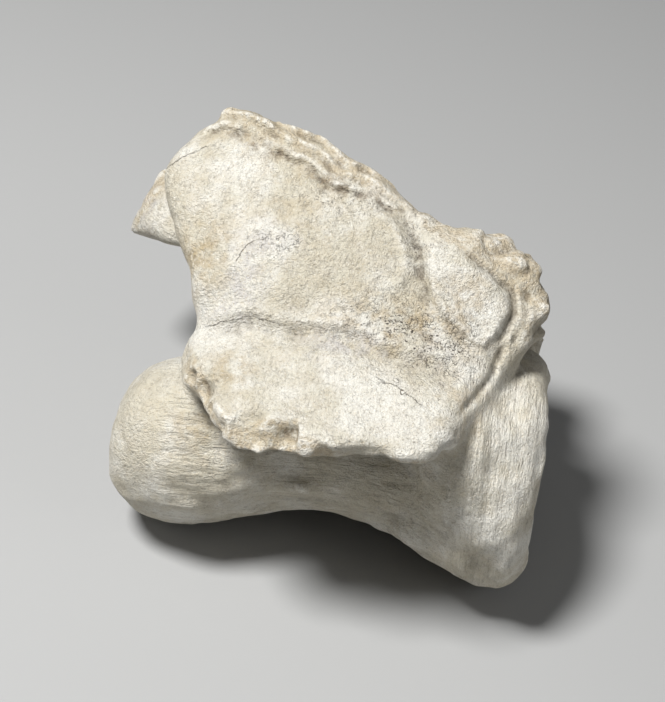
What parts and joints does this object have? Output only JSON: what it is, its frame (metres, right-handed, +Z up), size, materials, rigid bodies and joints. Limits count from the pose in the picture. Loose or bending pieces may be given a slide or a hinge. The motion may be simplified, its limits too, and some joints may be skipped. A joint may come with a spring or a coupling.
{
  "type": "fossil vertebra",
  "caption": "Fossil brontothere neck vertebra with a ball in front, a cup behind, broken side processes and a weathered arch, lying on its right side.",
  "frame": {"origin": "middle of the underside of the bone's box, on the table it lies on", "axes": "+X towards the tail end along the centrum, +Y towards the animal's right and back as it lies, +Z up"},
  "size_m": [0.1234, 0.1168, 0.0992],
  "materials": {
    "bone": "matt cream and ivory fossil bone with tan patches, grey stains and dark specks"
  },
  "bodies": {
    "root": {"vertebra": "bone"}
  },
  "joints": []
}
